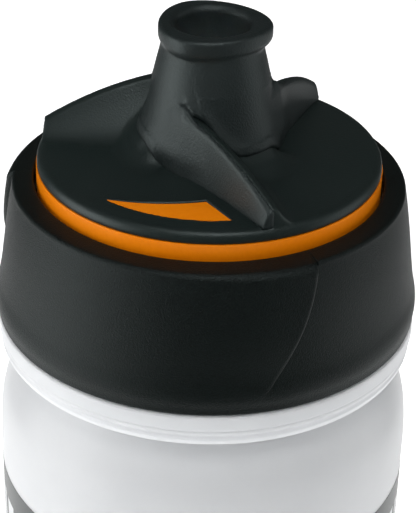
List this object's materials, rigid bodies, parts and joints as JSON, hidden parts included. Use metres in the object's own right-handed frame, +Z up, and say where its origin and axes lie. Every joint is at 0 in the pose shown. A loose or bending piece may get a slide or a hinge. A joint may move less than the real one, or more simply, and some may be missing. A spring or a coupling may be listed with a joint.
{
  "type": "bicycle water bottle",
  "caption": "Translucent squeeze bottle with a screw-on black collar and a twist cap that opens a soft spout.",
  "frame": {"origin": "centre of the base, on the surface that the bottle stands on", "axes": "+Z up along the bottle's axis, -Y towards the front, where the pointer on the cap is"},
  "size_m": [0.074, 0.074, 0.2053],
  "materials": {
    "bottle": "milky translucent squeezable polyethylene with a dark printed band",
    "collar": "black, fine spark-eroded grain",
    "cover": "black satin",
    "core": "glossy orange",
    "mouthpiece": "soft dark grey elastomer, satin",
    "insert": "natural white polypropylene",
    "silicone": "clear grey silicone"
  },
  "bodies": {
    "bottle": {"bottle_body": "bottle"},
    "gasket": {"lid_gasket": "silicone"},
    "lid": {"lid_collar": "collar", "valve_seat": "insert", "plug_seal": "silicone"},
    "oring": {"stem_oring": "silicone"},
    "cap": {"cap_core": "core", "cap_cover": "cover", "mouthpiece": "mouthpiece", "membrane_valve": "silicone", "valve_retainer": "insert"}
  },
  "joints": [
    {"name": "lid_lift", "type": "slide", "parent": "bottle", "child": "gasket", "axis": [0, 0, 1], "range_m": [0, 0.016]},
    {"name": "lid_unscrew", "type": "hinge", "parent": "gasket", "child": "lid", "pos_m": [0, 0, 0.153], "axis": [0, 0, 1], "range_deg": [0, 960]},
    {"name": "cap_lift", "type": "slide", "parent": "lid", "child": "oring", "axis": [0, 0, 1], "range_m": [-0.0024, 0]},
    {"name": "cap_twist", "type": "hinge", "parent": "oring", "child": "cap", "pos_m": [0, 0, 0.17], "axis": [0, 0, 1], "range_deg": [-90, 0]}
  ],
  "couplings": [
    {"joint": "lid_lift", "follows": "lid_unscrew", "m_per_rad": 0.00095493},
    {"joint": "cap_lift", "follows": "cap_twist", "m_per_rad": 0.0015279}
  ]
}
